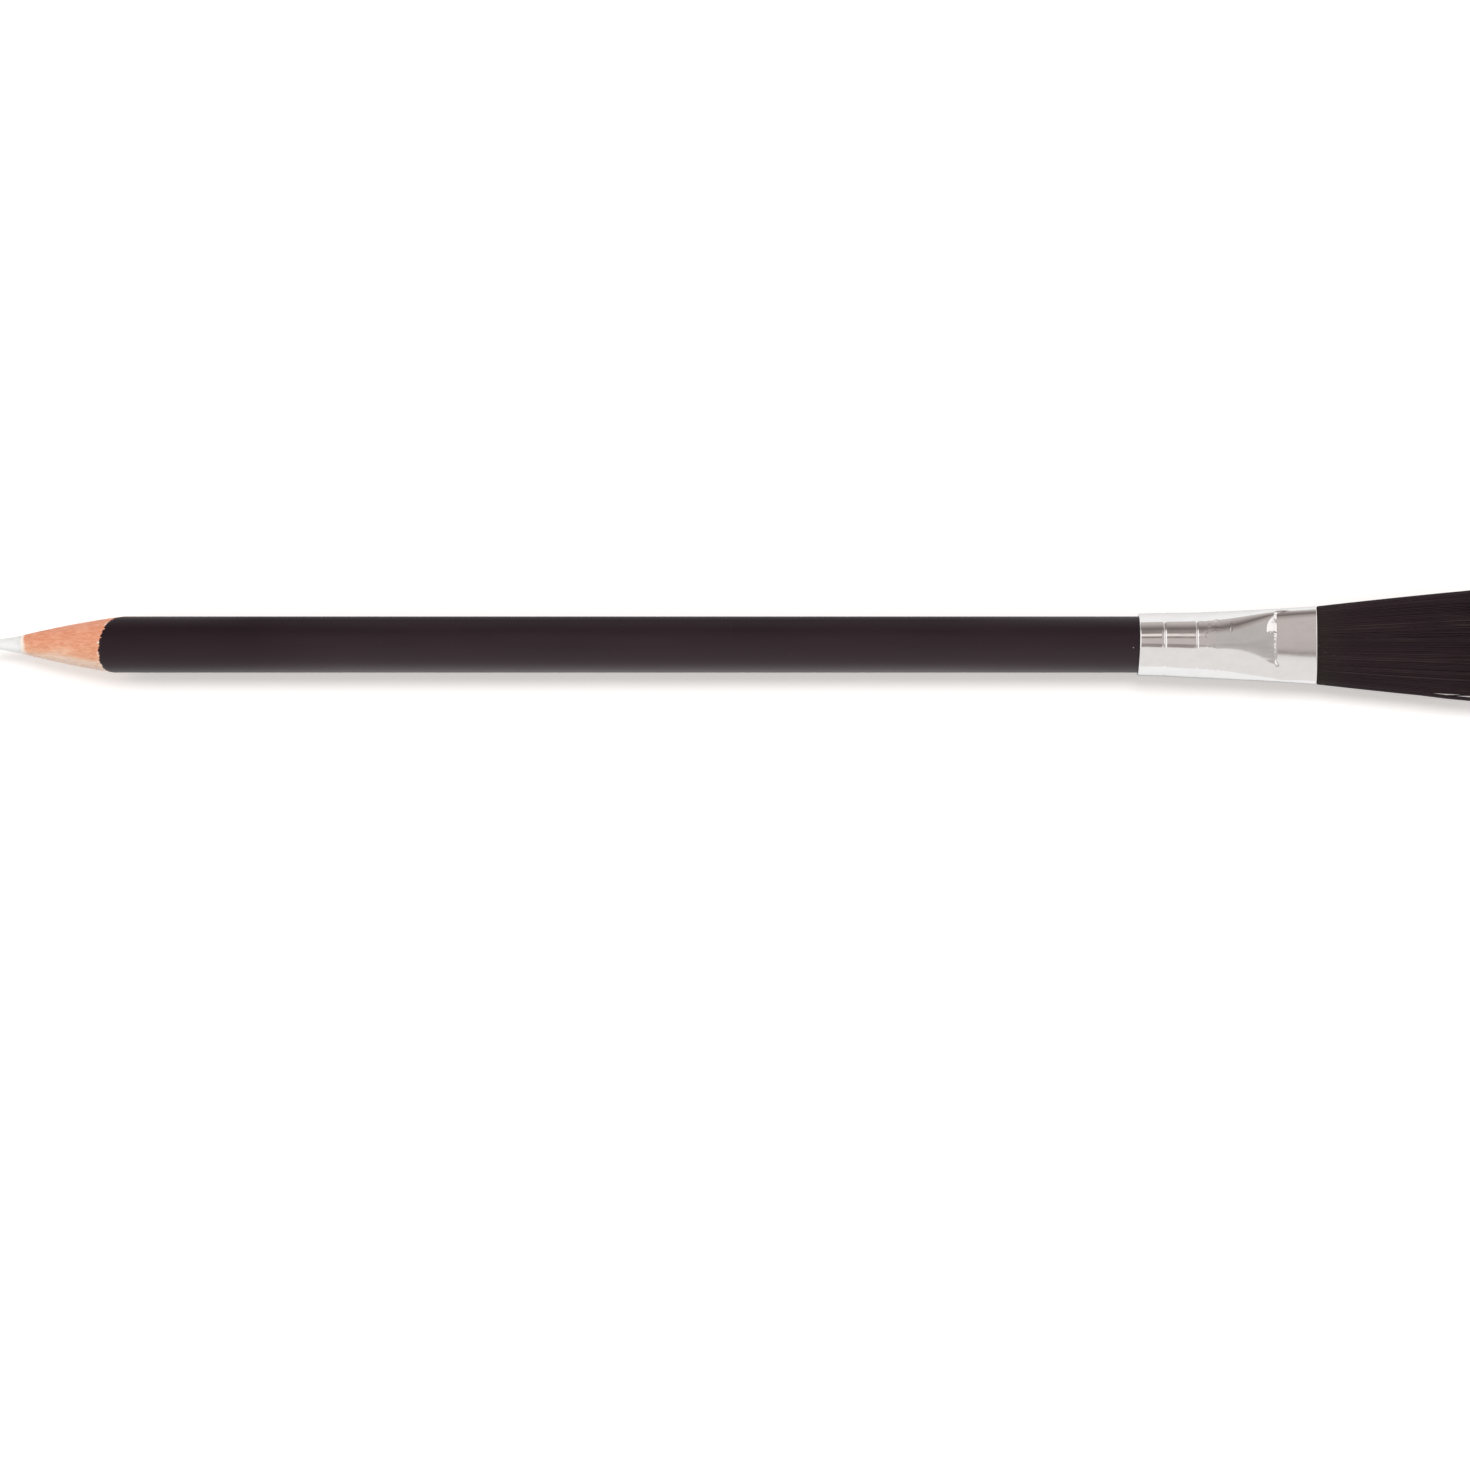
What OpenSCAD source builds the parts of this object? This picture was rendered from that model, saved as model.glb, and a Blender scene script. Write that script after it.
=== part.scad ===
// A wood-cased eraser pencil with a flat brush at its back end.
// It lies along X with the eraser tip at -X, on the plane z = 0.
// Lengths along the pencil are counted from the tip of the eraser.

/* [Pencil] */
// Length of the wooden casing with its core, tip to back end
pencil_length = 175; // [150:1:190]
// Diameter over the lacquer
barrel_d = 8; // [7:0.1:9]
// Thickness of the lacquer coats together
lacquer_t = 0.18; // [0.16:0.01:0.3]
// Diameter of the eraser core
core_d = 2.4; // [1.8:0.1:3.4]
// Thickness of the glue line between the two casing slats
glue_t = 0.06; // [0.04:0.01:0.15]

/* [Sharpened end] */
// Half angle of the sharpened wood cone
cone_angle = 11.85; // [10:0.05:16]
// Half angle of the worn eraser nose
nose_angle = 8.7; // [6:0.1:12]
// Radius of the blunt eraser tip
nose_tip_r = 0.3; // [0.1:0.05:0.5]
// How far the sharpened axis leans towards +Z
cone_lean_up = 1.4; // [0:0.1:2]
// How far the sharpened axis leans towards -Y
cone_lean_side = 0.45; // [0:0.05:2]

/* [Ferrule] */
// Length of the ferrule
ferrule_length = 25.3; // [22:0.1:30]
// How far the pencil reaches into the ferrule
insertion = 10.4; // [9.5:0.1:12]
// Diameter of the round collar that holds the pencil
collar_d = 8.84; // [8.8:0.01:9.4]
// Thickness of the ferrule's sheet
sheet_t = 0.35; // [0.25:0.01:0.38]
// Width across the pressed mouth
mouth_width = 11.15; // [10:0.05:12]
// Thickness over the pressed mouth
mouth_height = 4.6; // [4:0.05:5]
// Distance of the two deep crimps from the back edge
crimps = [3.83, 8.46];
// Depth of a deep crimp
crimp_depth = 0.08; // [0.05:0.01:0.18]
// Distance of the faint tool mark from the back edge
faint_mark = 13; // [12.6:0.1:13.2]
// Depth of the faint tool mark
faint_depth = 0.04; // [0.02:0.01:0.08]

/* [Brush] */
// Length of the bristles outside the ferrule
brush_length = 26; // [20:1:32]
// Half thickness of the brush at its fullest
brush_half_height = 2.3; // [2:0.05:2.4]
// Number of bristle locks across the brush
lock_columns = 9; // [5:1:9]
// Number of layers of bristle locks
lock_layers = 3; // [1:1:3]
// Room between neighbouring locks
lock_gap = 0.05; // [0.03:0.01:0.1]
// Distance from the mouth to the line about which the bristles bend
bend_line = 3.9; // [3.5:0.1:5]

/* [Hidden] */
$fn = 96;
barrel_r = barrel_d / 2;
core_r = core_d / 2;
collar_r = collar_d / 2;
axis_z = collar_r;
fit_gap = 0.01;
casing_r = barrel_r - lacquer_t - fit_gap;

// Stations along the pencil, from the tip of the eraser
ferrule_from = pencil_length - insertion;
mouth_at = ferrule_from + ferrule_length;
overall_length = mouth_at + brush_length;

// Length of the eraser's own cone in front of the wood
nose_length = (core_r - nose_tip_r) / tan(nose_angle);

// The casing is bare of lacquer inside the ferrule, where the adhesive grips the wood
lacquer_to = ferrule_from + 0.1;

// Ferrule stations, from its back edge: round, then pressed by two leaning flats,
// then stepped down by a crease into the parallel mouth
round_to = 10.6;
crease_from = 19.3;
crease_to = 19.8;
crease_half_height = 2.5;
step_half_height = 2.32;
lip_round = 0.15;
lip_drop = 0.07;
flat_from = 12.5;
flat_growth = 3.3;
round_power = 2;
crease_power = 4.7;
mouth_power = 2.8;
flare_bend = 0.51;
crimp_offsets = [-0.22, -0.1, 0, 0.1, 0.22];
crimp_shares = [0, 0.6, 1, 0.6, 0];
ring_points = 40;

// Adhesive film inside the collar, which keeps clear of the crimps
adhesive_from = 1.2;
crimp_clearance = 0.6;
film_clearance = 0.03;

// The resin plug and the roots that it holds
resin_from = 13.5;
resin_to = 16.5;
root_clearance = 0.02;

// The locks turn inside a hollow seat in the roots, like a knuckle
knuckle_r = 2.2;
seat_r = 2.32;
seat_stretch = 1.2;

// The brush widens along its length, a little less towards its end
brush_spread = 0.115;
brush_curl = 0.0005;
fullest_share = 0.59;

// Stations of a lock's sections from the mouth, and its drawn-in tip
lock_stations = [7, 11, 15, 19];
tip_length = 1.5;
tip_share = 0.7;
edge_share = 0.985;

// How uneven the tips of the bristles are, and the turn that spreads them
tip_scatter = 0.35;
tip_turn = 137;

function lock_name(i) = str("bristle_lock_", i < 10 ? "0" : "", i);

// A straight line between two values, held at its ends
function ramp(x, x0, x1, y0, y1) =
    y0 + (y1 - y0) * min(max((x - x0) / (x1 - x0), 0), 1);

// How far a crimp draws the sheet in at station u
function drawn_in(u, centre, depth) =
    depth * lookup(u - centre, [for (i = [0 : 4]) [crimp_offsets[i], crimp_shares[i]]]);

function crimp_at(u) =
    drawn_in(u, crimps[0], crimp_depth)
    + drawn_in(u, crimps[1], crimp_depth)
    + drawn_in(u, faint_mark, faint_depth);

function lip_at(u) =
    lip_drop * (max(0, 1 - u / lip_round) + max(0, 1 - (ferrule_length - u) / lip_round));

// Outer half width of the ferrule: a slow flare from the collar to the mouth
function half_width(u) =
    let (flare = (mouth_width - collar_d) / 2, share = u / ferrule_length)
    collar_r + flare * ((1 - flare_bend) * share + flare_bend * share * share);

// Outer half height of the ferrule
function half_height(u) =
    u <= crease_from ? min(half_width(u), ramp(u, round_to, crease_from, collar_r, crease_half_height))
    : u <= crease_to ? ramp(u, crease_from, crease_to, crease_half_height, step_half_height)
    : ramp(u, crease_to, ferrule_length, step_half_height, mouth_height / 2);

// Power of the superellipse that a section follows: 2 is an ellipse
function section_power(u) =
    u <= crease_from
    ? round_power + (crease_power - round_power) * pow(ramp(u, flat_from, crease_from, 0, 1), flat_growth)
    : ramp(u, crease_from, crease_to, crease_power, mouth_power);

function signed_power(v, p) = sign(v) * pow(abs(v), p);

// Points of one closed section across X, with small flats at its top, bottom and sides
function section(x, half_w, half_h, power) = [
    for (i = [0 : ring_points - 1])
        let (a = (i + 0.5) * 360 / ring_points, out = 1 / cos(180 / ring_points))
        [x, out * half_w * signed_power(cos(a), 2 / power), out * half_h * signed_power(sin(a), 2 / power)]
];

function ferrule_ring(u, inset) =
    let (less = inset + crimp_at(u))
    section(u, half_width(u) - less, min(half_height(u), collar_r) - less, section_power(u));

function stations_at(centre) = [for (o = crimp_offsets) centre + o];

ferrule_stations = concat(
    [0, lip_round],
    stations_at(crimps[0]),
    stations_at(crimps[1]),
    [round_to],
    stations_at(faint_mark),
    [resin_from, 15, resin_to, 17.5, 18.4],
    [crease_from, (crease_from + crease_to) / 2, crease_to],
    [22.5, ferrule_length - lip_round, ferrule_length]
);

// Side faces between two rings that start at points a and b
function band(a, b, n) = [
    for (i = [0 : n - 1])
        let (j = (i + 1) % n)
        each [[a + i, b + i, b + j], [a + i, b + j, a + j]]
];

// Faces over a ring, in strips between points of equal height, so a hollow seat stays hollow
function strips(first, n) = [
    for (i = [0 : n / 2 - 2])
        let (
            right_low = first + (3 * n / 4 + i) % n,
            right_high = first + (3 * n / 4 + i + 1) % n,
            left_low = first + (3 * n / 4 - 1 - i + n) % n,
            left_high = first + (3 * n / 4 - 2 - i + n) % n
        )
        each [[left_low, right_low, right_high], [left_low, right_high, left_high]]
];

function flipped(faces) = [for (f = faces) [f[2], f[1], f[0]]];

// A closed solid through rings that each hold n points
module lofted(rings, n) {
    last = len(rings) - 1;
    sides = [for (k = [0 : last - 1]) each band(k * n, (k + 1) * n, n)];
    polyhedron(
        points = [for (r = rings) each r],
        faces = concat(sides, flipped(strips(last * n, n)), strips(0, n)),
        convexity = 6
    );
}

// From the tip of the eraser, along the pencil's axis
module along_pencil() {
    translate([-overall_length / 2, 0, axis_z]) rotate([0, 90, 0]) children();
}

// From the ferrule's back edge, with X along the pencil
module from_ferrule() {
    translate([ferrule_from - overall_length / 2, 0, axis_z]) children();
}

module bar(r, from, to) {
    translate([0, 0, from]) cylinder(r = r, h = to - from);
}

// Everything that a sharpener leaves: a nose, a cone and then the whole pencil.
// Its axis leans about the point where the core leaves the wood.
module sharpener() {
    reach = 3 * barrel_r;
    cone_length = (reach - core_r) / tan(cone_angle);
    behind = pencil_length + reach;
    translate([0, 0, nose_length]) rotate([0, -cone_lean_up, 0]) rotate([cone_lean_side, 0, 0])
        translate([0, 0, -nose_length]) rotate_extrude() polygon([
            [0, 0],
            [nose_tip_r * 0.5, nose_tip_r * 0.1],
            [nose_tip_r * 0.85, nose_tip_r * 0.4],
            [nose_tip_r, nose_tip_r * 0.9],
            [core_r, nose_length],
            [reach, nose_length + cone_length],
            [reach, behind],
            [0, behind]
        ]);
}

module sharpened() {
    along_pencil() intersection() {
        children();
        sharpener();
    }
}

// Half of the wooden casing: side is 1 above the glue line and -1 below it
module casing_slat(side) {
    block = 2 * barrel_r;
    off_glue = glue_t / 2 + fit_gap;
    sharpened() intersection() {
        difference() {
            bar(casing_r, 0, pencil_length);
            bar(core_r + fit_gap, -1, pencil_length + 1);
        }
        translate([side > 0 ? -block - off_glue : off_glue, -block, -1])
            cube([block, 2 * block, pencil_length + 2]);
    }
}

module upper_casing_slat() {
    color("#e6a587") casing_slat(1);
}

module lower_casing_slat() {
    color("#e0a080") casing_slat(-1);
}

// Where the sharpened cone cuts the glue line at radius r, on the side towards +Y or -Y
function cone_station(side, r) =
    nose_length + (r - core_r) / (tan(cone_angle) - side * tan(cone_lean_side));

module slat_glue() {
    inner = core_r + fit_gap;
    outer = casing_r - fit_gap;
    set_back = 0.3;
    color("#c9b48a") translate([-overall_length / 2, 0, axis_z - glue_t / 2])
        for (side = [-1, 1]) linear_extrude(glue_t) polygon([
            [cone_station(side, inner) + set_back, side * inner],
            [cone_station(side, outer) + set_back, side * outer],
            [pencil_length, side * outer],
            [pencil_length, side * inner]
        ]);
}

module eraser_core() {
    color("#ecebe6") sharpened() bar(core_r, 0, pencil_length);
}

module lacquer_coat() {
    color("#2f2529") sharpened() difference() {
        bar(barrel_r, 0, lacquer_to);
        bar(barrel_r - lacquer_t, -1, lacquer_to + 1);
    }
}

module ferrule() {
    n = ring_points;
    count = len(ferrule_stations);
    outer = [for (u = ferrule_stations) each ferrule_ring(u, lip_at(u))];
    inner = [for (u = ferrule_stations) each ferrule_ring(u, sheet_t)];
    inside = count * n;
    outer_faces = [for (k = [0 : count - 2]) each band(k * n, (k + 1) * n, n)];
    inner_faces = [for (k = [0 : count - 2]) each band(inside + k * n, inside + (k + 1) * n, n)];
    back_edge = band(0, inside, n);
    mouth_edge = band((count - 1) * n, inside + (count - 1) * n, n);
    color("#c8cacc") from_ferrule() polyhedron(
        points = concat(outer, inner),
        faces = concat(outer_faces, flipped(inner_faces), flipped(back_edge), mouth_edge),
        convexity = 10
    );
}

// Thin sleeves of set adhesive between the bare wood and the collar, beside the crimps
module ferrule_adhesive() {
    sleeves = [
        [adhesive_from, crimps[0] - crimp_clearance],
        [crimps[0] + crimp_clearance, crimps[1] - crimp_clearance]
    ];
    film_out = collar_r - sheet_t - film_clearance;
    color("#d8c79a") along_pencil() for (s = sleeves) difference() {
        bar(film_out, ferrule_from + s[0], ferrule_from + s[1]);
        bar(casing_r + fit_gap, ferrule_from, ferrule_from + insertion);
    }
}

// Rings of what fills the ferrule between two of its stations
function filling_rings(from, to) = [
    for (u = ferrule_stations) if (u >= from && u <= to) ferrule_ring(u, sheet_t + root_clearance)
];

module bristle_resin() {
    color("#6a5a3a") from_ferrule() lofted(filling_rings(resin_from, resin_to), ring_points);
}

// Half width and half height of the brush at a distance d from the mouth
function brush_half_width(d) = mouth_width / 2 + brush_spread * d - brush_curl * d * d;

function brush_half_height_at(d) =
    let (mouth = mouth_height / 2 - sheet_t, share = d / brush_length)
    mouth + (brush_half_height - mouth) * sin(min(90 * share / fullest_share, 180));

// The seat is cut across the brush by a cylinder along Y
function seated(ring, r, x_axis) = [
    for (p = ring) [x_axis - sqrt(max(r * r - p[2] * p[2], 0)), p[1], p[2]]
];

module bristle_roots() {
    inside = filling_rings(resin_to + fit_gap, ferrule_length);
    first = ferrule_ring(resin_to, sheet_t + root_clearance);
    start = [for (p = first) [resin_to + fit_gap, p[1], p[2]]];
    just_out = section(ferrule_length + seat_stretch, brush_half_width(seat_stretch),
        brush_half_height_at(seat_stretch), mouth_power);
    end = section(0, brush_half_width(bend_line), brush_half_height_at(bend_line), mouth_power);
    rings = concat([start], inside, [just_out, seated(end, seat_r, ferrule_length + bend_line)]);
    color("#2a2226") from_ferrule() lofted(rings, ring_points);
}

// Height of the brush's surface at a share f of its half width
function surface_height(d, f) =
    brush_half_height_at(d) * pow(1 - pow(abs(f), mouth_power), 1 / mouth_power);

// A corner of a lock's section: f and g are its shares across and up, with the gap taken off
function lock_point(x, d, f, g, side_y, side_z) =
    let (y = brush_half_width(d) * f, z = surface_height(d, f) * g)
    [x, y - side_y * lock_gap / 2, z - side_z * lock_gap / 2];

// Six points around a lock's section, drawn together towards its middle by the share slim
function lock_ring(x, d, f0, f1, g0, g1, slim) =
    let (
        points = [
            lock_point(x, d, f0, g0, -1, -1),
            lock_point(x, d, f1, g0, 1, -1),
            lock_point(x, d, f1, (g0 + g1) / 2, 1, 0),
            lock_point(x, d, f1, g1, 1, 1),
            lock_point(x, d, f0, g1, -1, 1),
            lock_point(x, d, f0, (g0 + g1) / 2, -1, 0)
        ],
        middle = (points[2] + points[5]) / 2
    )
    [for (p = points) middle + (p - middle) * slim];

function lock_cap(first) = [
    [first, first + 1, first + 2],
    [first, first + 2, first + 5],
    [first + 5, first + 2, first + 3],
    [first + 5, first + 3, first + 4]
];

module bristle_lock(i) {
    column = (i - 1) % lock_columns;
    layer = floor((i - 1) / lock_columns);
    f0 = edge_share * (2 * column / lock_columns - 1);
    f1 = edge_share * (2 * (column + 1) / lock_columns - 1);
    g0 = 2 * layer / lock_layers - 1;
    g1 = 2 * (layer + 1) / lock_layers - 1;
    tip = brush_length - tip_scatter * (1 + sin(i * tip_turn));
    stations = [for (d = concat(lock_stations, [tip - tip_length])) if (d <= tip - tip_length) d];
    back = lock_ring(0, bend_line, f0, f1, g0, g1, 1);
    rings = concat(
        [seated(back, knuckle_r, bend_line)],
        [for (d = stations) lock_ring(d, d, f0, f1, g0, g1, 1)],
        [lock_ring(tip, tip, f0, f1, g0, g1, tip_share)]
    );
    n = 6;
    last = len(rings) - 1;
    shade = 0.13 + 0.03 * ((column + layer) % 2);
    color([shade * 1.2, shade, shade * 1.08])
        translate([mouth_at - overall_length / 2, 0, axis_z])
        polyhedron(
            points = [for (r = rings) each r],
            faces = concat(
                [for (k = [0 : last - 1]) each band(k * n, (k + 1) * n, n)],
                lock_cap(0),
                flipped(lock_cap(last * n))
            ),
            convexity = 4
        );
}

upper_casing_slat();
lower_casing_slat();
slat_glue();
eraser_core();
lacquer_coat();
ferrule();
ferrule_adhesive();
bristle_resin();
bristle_roots();
for (i = [1 : lock_columns * lock_layers])
    bristle_lock(i);
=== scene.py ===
# The looks of a wood-cased eraser pencil with a flat brush at its back end.
# Shapes are worked out in millimetres in the frame's own axes, and make_piece turns them into metres.
import math
import random

import bpy
import numpy as np
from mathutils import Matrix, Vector, noise


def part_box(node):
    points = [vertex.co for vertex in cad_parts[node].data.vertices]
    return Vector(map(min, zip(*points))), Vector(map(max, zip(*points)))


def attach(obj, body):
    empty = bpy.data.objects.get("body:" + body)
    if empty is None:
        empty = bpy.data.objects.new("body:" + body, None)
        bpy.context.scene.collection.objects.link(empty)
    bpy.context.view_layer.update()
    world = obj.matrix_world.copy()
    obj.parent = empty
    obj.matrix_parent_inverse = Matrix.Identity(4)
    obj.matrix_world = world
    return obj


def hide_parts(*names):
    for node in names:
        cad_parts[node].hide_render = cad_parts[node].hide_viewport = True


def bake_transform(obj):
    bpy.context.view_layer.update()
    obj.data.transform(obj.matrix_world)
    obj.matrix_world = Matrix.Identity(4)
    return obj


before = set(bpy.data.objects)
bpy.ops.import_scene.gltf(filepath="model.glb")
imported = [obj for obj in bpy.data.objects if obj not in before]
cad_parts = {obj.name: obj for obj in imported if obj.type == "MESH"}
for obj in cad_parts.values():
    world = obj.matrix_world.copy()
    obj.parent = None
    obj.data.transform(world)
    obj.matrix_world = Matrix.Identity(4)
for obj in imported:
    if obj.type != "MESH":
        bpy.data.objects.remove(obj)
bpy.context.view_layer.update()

MM = 0.001
BLACK = (0.0, 0.0, 0.0, 1.0)
WHITE = (1.0, 1.0, 1.0, 1.0)

# The camera hangs straight above, so that the pencil has the place and size that it has in the photograph
IMAGE_LONG_SIDE = 1471
PIXELS_PER_MM = 7.025
CAMERA_HEIGHT = 893.48
CAMERA_X = -0.76
CAMERA_Y = -12.95
SENSOR_WIDTH = 36.0

# Light: the sky's level and how much stronger it is from -Y, the sun's strength, its spread and tilt in
# degrees, and what is left of world and floor for a glossy ray that comes from a dull surface
SKY_LEVEL = 0.5
SKY_LEAN = 0.22
SUN_STRENGTH = 1.8
SUN_SPREAD = 26.5
SUN_TILT = -22.4
THROWN_BACK = 0.2

# Floor: its own tone, the tone and glow that whiten it where it is seen, and half its side in metres
FLOOR_TONE = (0.87, 0.865, 0.86)
FLOOR_SEEN_TONE = (0.93, 0.912, 0.902)
FLOOR_GLOW_TONE = (1.0, 0.94, 0.905)
FLOOR_LIFT = 0.3
FLOOR_HALF = 3.0

# Places and sizes that the frame gives
CORE_LOW, CORE_HIGH = (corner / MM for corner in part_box("eraser_core"))
LACQUER_LOW, LACQUER_HIGH = (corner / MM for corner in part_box("lacquer_coat"))
SLAT_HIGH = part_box("upper_casing_slat")[1] / MM
FERRULE_LOW, FERRULE_HIGH = (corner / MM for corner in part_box("ferrule"))
AXIS_Z = (LACQUER_LOW.z + LACQUER_HIGH.z) / 2
CORE_R = CORE_HIGH.y
CASING_R = SLAT_HIGH.y
BARREL_R = LACQUER_HIGH.y
COLLAR_R = FERRULE_HIGH.z - AXIS_Z
FERRULE_X = FERRULE_LOW.x
FERRULE_LENGTH = FERRULE_HIGH.x - FERRULE_LOW.x
MOUTH_X = FERRULE_HIGH.x
MOUTH_HALF_WIDTH = FERRULE_HIGH.y

# Sharpened end, in degrees and millimetres; the cone's radius loses CONE_BOW times its length squared
CONE_ANGLE = 13.85
CONE_BOW = 0.0038
CONE_LEAN_UP = 1.6
CONE_LEAN_SIDE = 0.42
CONE_FRONT_R = CORE_R + 0.15
NOSE_R = CORE_R + 0.1
NOSE_ANGLE = 9.65
NOSE_TIP_R = 0.3
NOSE_LENGTH = (NOSE_R - NOSE_TIP_R) / math.tan(math.radians(NOSE_ANGLE))
PIVOT_X = CORE_LOW.x + NOSE_LENGTH
WOOD_STEP = 0.06
GLUE_HALF = 0.04
FEATHER_LIFT = 0.022
FEATHER_T = 0.015
BORE_LAP = 0.004
COARSE_CHIP = 0.14
FINE_CHIP = 0.42

# The search along the pencil for the cone's surface: its span, and how often that is halved
SEARCH_LOW = -10.0
SEARCH_HIGH = 25.0
HALVINGS = 44

# Lacquer: its thickness, where it is whole again behind the cone, a pale spot on it, the middle and the
# reach of the painted reflection on both rims, and how much less painted gloss the tip has
LACQUER_T = 0.06
WOOD_R = BARREL_R - LACQUER_T
BEHIND_CONE_X = LACQUER_LOW.x + 8
PALE_SPOT = (55.7, -0.5, AXIS_Z + 3.97)
RIMS_CENTRE_X = -13
RIMS_FULL = 43
RIMS_GONE = 66
TIP_LESS_FROM_X = -56
TIP_LESS_TO_X = -69
TIP_LESS = -0.13
LEAST_GLOSS = 0.03

# Ferrule: a round collar, two leaning flats, a crease and a parallel mouth
SHEET_T = 0.35
CRIMPS = [
    {"centre": 3.56, "reach": 0.26, "depth": 0.07},
    {"centre": 8.13, "reach": 0.22, "depth": 0.058},
]
FAINT_MARK = 13.0
FAINT_DEPTH = 0.04
FAINT_REACH = 0.3
FAINT_TURN = 61
FAINT_SPREAD = 9
ROUND_TO = 10.6
PRESS_FROM = 8.5
PRESS_LEAD = 0.06
FLAT_FROM = 10.5
FLAT_GROWTH = 3.0
CREASE_FROM = 19.14
CREASE_TO = 19.5
CREASE_HALF_HEIGHT = 2.63
STEP_HALF_HEIGHT = 2.5
MOUTH_HALF_HEIGHT = 2.3
CREASE_POWER = 3.7
MOUTH_POWER = 2.8
FLARE_BEND = 0.51
OFF_CENTRE = -0.11
FLANK_STEP = 1.8
CORNER_STEP = 0.45
PINCH_FROM = 18.05
PINCH_INNER_Y = 1.95
PINCH_OUTER_Y = 4.2
PINCH_BLUNT = 0.22
PINCH_SLOPE = 0.33
PINCH_BULGE = 3.0
LIP_SLANT = 0.13
FERRULE_COLUMNS = 288
CLOSE_STEP = 0.03
WIDE_STEP = 0.16

# Brush
BRUSH_LENGTH = 26.0
BRUSH_HALF_HEIGHT = 2.3
BRUSH_SPREAD = 0.115
BRUSH_CURL = 0.0005
TIP_CURL = 0.014
TIP_CURL_FROM = 20.5
FULLEST_SHARE = 0.59
LOCK_COLUMNS = 9
LOCK_LAYERS = 3
TIP_SCATTER = 0.35
TIP_TURN = 137
HAIR_R = 0.062
HAIR_SIDES = 5
HAIRS_ACROSS = 11
HAIRS_UP = 8
HAIR_STATIONS = (-0.3, -0.02, 0.1, 0.2, 2.6, 5.0, 8.0, 11.5, 15.0, 18.5)
HAIR_TAPER = [1] * 11 + [0.95, 0.8, 0.35]
HAIR_DRIFT_Y = 0.16
HAIR_DRIFT_Z = 0.14
CLUMP_PULL_Y = 0.10
CLUMP_PULL_Z = 0.12
CLUMPS = 22


def opaque(levels):
    """A solid colour from its three levels"""
    return (*levels, 1.0)


def colour(red, green, blue):
    """A colour given as it looks on a screen, from 0 to 255, as linear light"""
    levels = [level / 255 for level in (red, green, blue)]
    return opaque(v / 12.92 if v <= 0.04045 else ((v + 0.055) / 1.055) ** 2.4 for v in levels)


def ramp(x, x0, x1, y0, y1):
    """A straight line between two values, held at its ends"""
    return y0 + (y1 - y0) * np.clip((x - x0) / (x1 - x0), 0, 1)


def smooth(x, x0, x1):
    """From 0 at x0 to 1 at x1 without a corner"""
    t = np.clip((x - x0) / (x1 - x0), 0, 1)
    return t * t * (3 - 2 * t)


def noise_field(points, scale, seed):
    """Smooth noise from -1 to 1 at each point; scale is per millimetre along each axis"""
    flat = np.asarray(points).reshape(-1, 3) * np.asarray(scale)
    values = [noise.noise(Vector(p) + Vector((seed, 2 * seed, 3 * seed))) for p in flat]
    return np.array(values).reshape(np.asarray(points).shape[:-1])


# Meshes


def make_piece(name, points, faces, material, corner=None):
    """A smooth mesh from points in millimetres, creased where faces turn more than corner degrees"""
    mesh = bpy.data.meshes.new(name)
    mesh.from_pydata((np.asarray(points).reshape(-1, 3) * MM).tolist(), [], faces)
    mesh.update()
    mesh.shade_smooth()
    if corner:
        mesh.set_sharp_from_angle(angle=math.radians(corner))
    mesh.materials.append(material)
    piece = bpy.data.objects.new(name, mesh)
    bpy.context.scene.collection.objects.link(piece)
    return piece


def add_values(piece, name, values):
    """Stores one number per point on a piece, for its material"""
    attribute = piece.data.attributes.new(name, "FLOAT", "POINT")
    attribute.data.foreach_set("value", np.asarray(values, np.float32).ravel())


def grid_faces(rows, columns, first=0, joined_ends=False):
    """Quads round rings of points; the rings themselves close up where joined_ends is true"""
    last_row = rows if joined_ends else rows - 1
    row, column = np.mgrid[0:last_row, 0:columns]
    next_row = (row + 1) % rows
    next_column = (column + 1) % columns
    corners = [
        row * columns + column,
        row * columns + next_column,
        next_row * columns + next_column,
        next_row * columns + column,
    ]
    return (first + np.stack(corners, axis=-1).reshape(-1, 4)).tolist()


def end_faces(rows, columns, first=0):
    """The two flat ends of a stack of rings"""
    start = [first + i for i in reversed(range(columns))]
    end = [first + (rows - 1) * columns + i for i in range(columns)]
    return [start, end]


def ring_stack(rings):
    """Points and faces of a closed solid through rings of equal count"""
    rings = np.asarray(rings)
    rows, columns = rings.shape[:2]
    return rings.reshape(-1, 3), grid_faces(rows, columns) + end_faces(rows, columns)


def round_ring(x, radius, angles, centre_y=0.0, centre_z=0.0):
    """A ring across the pencil; x and radius may change round it"""
    flat = np.zeros_like(angles)
    return np.stack(
        [x + flat, centre_y + radius * np.cos(angles), AXIS_Z + centre_z + radius * np.sin(angles)],
        axis=-1,
    )


# Materials


def new_material(name, roughness, metallic=0.0, specular=0.5):
    """A material with its node tree and its shader"""
    material = bpy.data.materials.new(name)
    material.use_nodes = True
    tree = material.node_tree
    shader = tree.nodes["Principled BSDF"]
    shader.inputs["Roughness"].default_value = roughness
    shader.inputs["Metallic"].default_value = metallic
    shader.inputs["Specular IOR Level"].default_value = specular
    return material, tree, shader


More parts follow.
